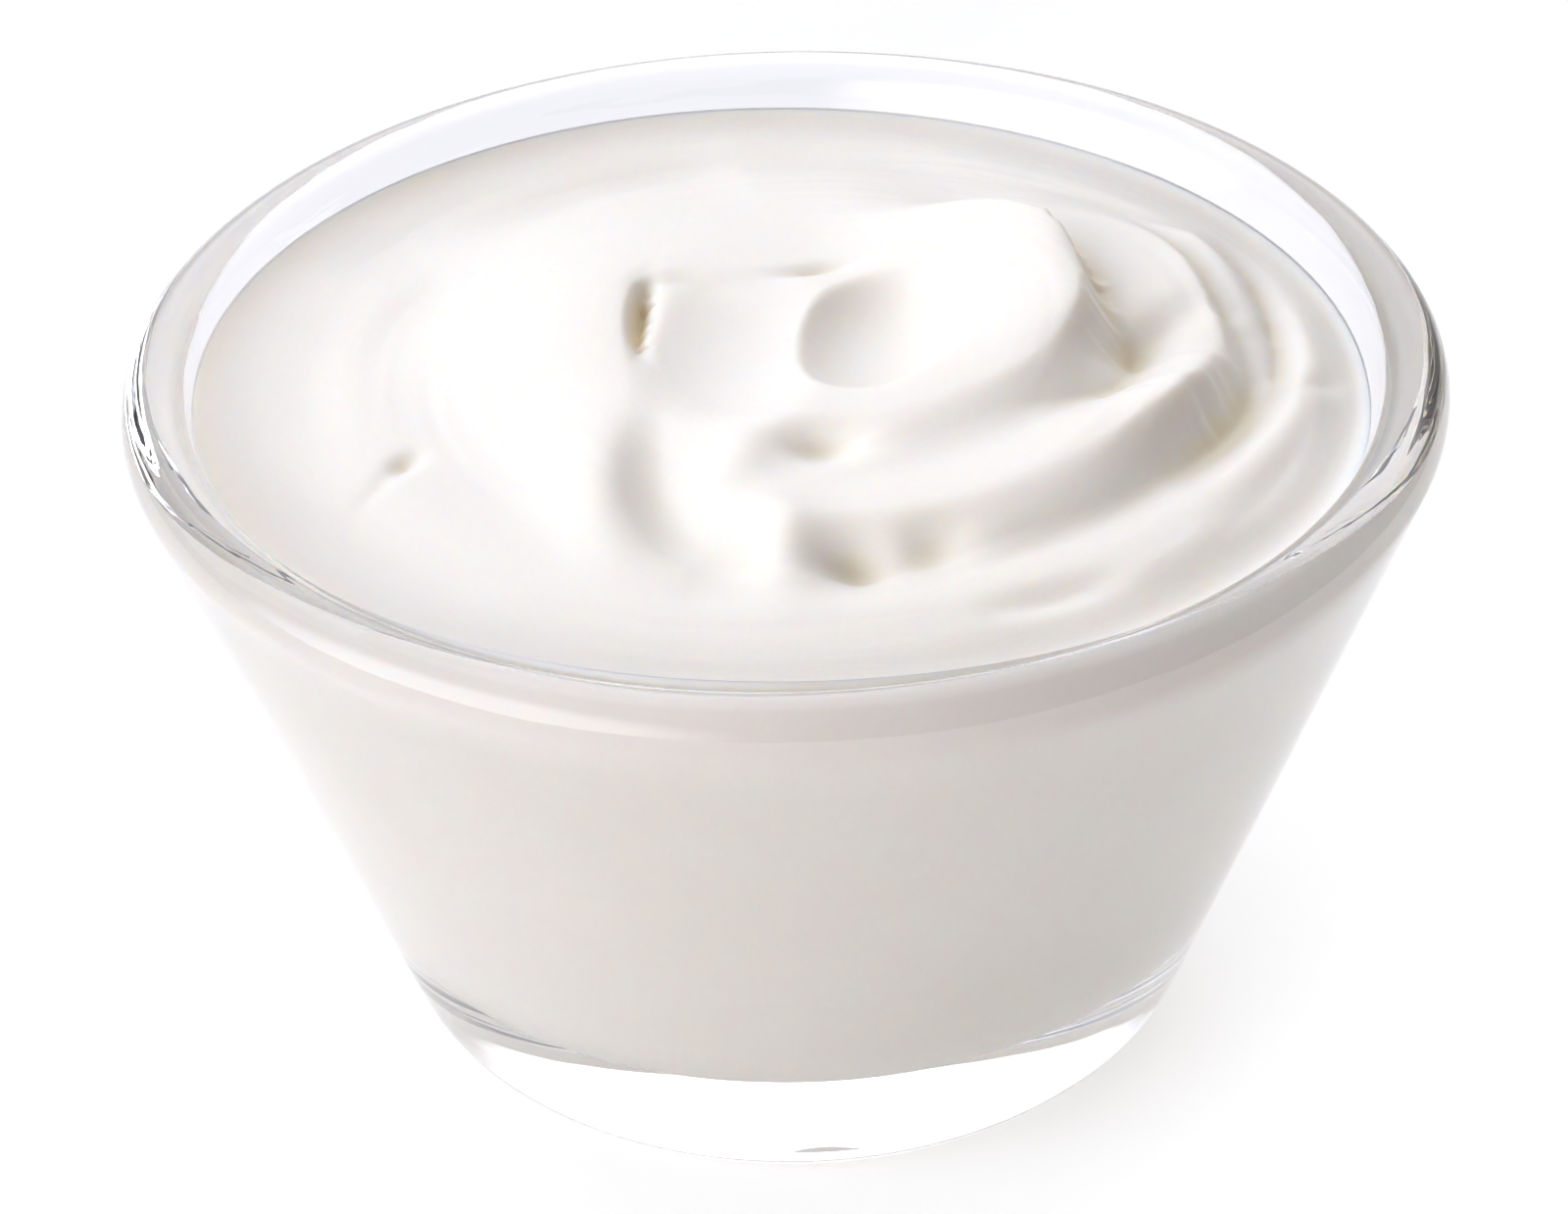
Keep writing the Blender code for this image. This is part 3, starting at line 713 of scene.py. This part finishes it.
# Light
# A large softbox close by at the back left, in a plain room: a pale wall behind that is lit brightest high
# up, a low white panel at the left front, and a dim, warm side at the right.
SOFTBOX_TOWARD = Vector((-0.66, 0.40, 0.52))
SOFTBOX_AWAY = 0.62
SOFTBOX_SIZE = 0.46
SOFTBOX_POWER = 0.50
SOFTBOX_COLOUR = (0.92, 0.945, 1.0)
WALL_TOWARD = (0.50, 0.86, 0.14)
WALL_STRENGTH = 0.70
WALL_EDGES = (0.45, 0.95)
HIGH_WALL_TOWARD = (0, 0.67, 0.74)
HIGH_WALL_STRENGTH = 1.35
HIGH_WALL_EDGES = (0.70, 0.95)
PANEL_TOWARD = (-0.79, -0.61, 0.09)
PANEL_STRENGTH = 4.5
PANEL_EDGES = (0.66, 0.96)
ROOM_DIM = 0.05
ROOM_BRIGHT = 0.5
ROOM_EDGES = (0, 1)
ROOM_WARM = (1.0, 0.885, 0.79, 1)
ROOM_COOL = (0.95, 0.97, 1.06, 1)
ROOM_COOLS = (-0.6, 0.7)

softbox = bpy.data.objects.new("softbox", bpy.data.lights.new("softbox", "AREA"))
softbox.data.size = SOFTBOX_SIZE
softbox.data.energy = SOFTBOX_POWER
softbox.data.color = SOFTBOX_COLOUR
softbox.location = SOFTBOX_TOWARD.normalized() * SOFTBOX_AWAY + Vector((0, 0, BOWL_HEIGHT))
softbox.rotation_euler = SOFTBOX_TOWARD.to_track_quat("Z", "Y").to_euler()
bpy.context.scene.collection.objects.link(softbox)

world = bpy.data.worlds.new("studio")
bpy.context.scene.world = world
world.use_nodes = True
nodes, links = world.node_tree.nodes, world.node_tree.links
outlook = nodes.new("ShaderNodeTexCoord")


def facing(toward):
    """How nearly a direction of the dome faces this way, from -1 to 1."""
    product = nodes.new("ShaderNodeVectorMath")
    product.operation = "DOT_PRODUCT"
    product.inputs[1].default_value = Vector(toward).normalized()
    links.new(outlook.outputs["Generated"], product.inputs[0])
    return product.outputs["Value"]


def graded(value, edges, dim, bright, smooth):
    """A strength that goes from dim to bright between two edges of a value."""
    grade = nodes.new("ShaderNodeMapRange")
    grade.interpolation_type = "SMOOTHSTEP" if smooth else "LINEAR"
    grade.inputs["From Min"].default_value, grade.inputs["From Max"].default_value = edges
    grade.inputs["To Min"].default_value, grade.inputs["To Max"].default_value = dim, bright
    links.new(value, grade.inputs["Value"])
    return grade.outputs["Result"]


def added(first, second):
    """The sum of two strengths."""
    total = nodes.new("ShaderNodeMath")
    links.new(first, total.inputs[0])
    links.new(second, total.inputs[1])
    return total.outputs["Value"]


to_softbox = facing(SOFTBOX_TOWARD)
wall = graded(facing(WALL_TOWARD), WALL_EDGES, 0, WALL_STRENGTH, True)
panel = graded(facing(PANEL_TOWARD), PANEL_EDGES, 0, PANEL_STRENGTH, True)
high_wall = graded(facing(HIGH_WALL_TOWARD), HIGH_WALL_EDGES, 0, HIGH_WALL_STRENGTH, True)
room = graded(to_softbox, ROOM_EDGES, ROOM_DIM, ROOM_BRIGHT, False)
warmth = nodes.new("ShaderNodeMix")
warmth.data_type = "RGBA"
warmth.inputs["A"].default_value = ROOM_WARM
warmth.inputs["B"].default_value = ROOM_COOL
links.new(graded(to_softbox, ROOM_COOLS, 0, 1, False), warmth.inputs["Factor"])
background = nodes["Background"]
links.new(warmth.outputs["Result"], background.inputs["Color"])
links.new(added(added(wall, panel), added(high_wall, room)), background.inputs["Strength"])
bpy.context.scene.view_settings.view_transform = "Standard"
# enough bounces for light that runs round inside the thick rim
bpy.context.scene.cycles.glossy_bounces = 8


# Camera
# It looks down on the bowl from the front, at the photograph's angle, with its slight roll.
CAMERA_ELEVATION = math.radians(33.65)
CAMERA_ROLL = math.radians(-1.39)
CAMERA_DISTANCE = 416.35 * MM
AIM_HEIGHT = 34.65 * MM
LENS = 110.99
SHIFT = (-0.0044, 0.0071)

back = Vector((0, -math.cos(CAMERA_ELEVATION), math.sin(CAMERA_ELEVATION)))
level = Vector((1, 0, 0))
upward = level.cross(-back)
right = math.cos(CAMERA_ROLL) * level + math.sin(CAMERA_ROLL) * upward
up = math.cos(CAMERA_ROLL) * upward - math.sin(CAMERA_ROLL) * level
camera = bpy.data.objects.new("camera", bpy.data.cameras.new("camera"))
bpy.context.scene.collection.objects.link(camera)
stance = Matrix((right, up, back)).transposed().to_4x4()
stance.translation = back * CAMERA_DISTANCE + Vector((0, 0, AIM_HEIGHT))
camera.matrix_world = stance
camera.data.sensor_width = 36
camera.data.lens = LENS
camera.data.shift_x, camera.data.shift_y = SHIFT
camera.data.clip_start = 10 * MM
bpy.context.scene.camera = camera
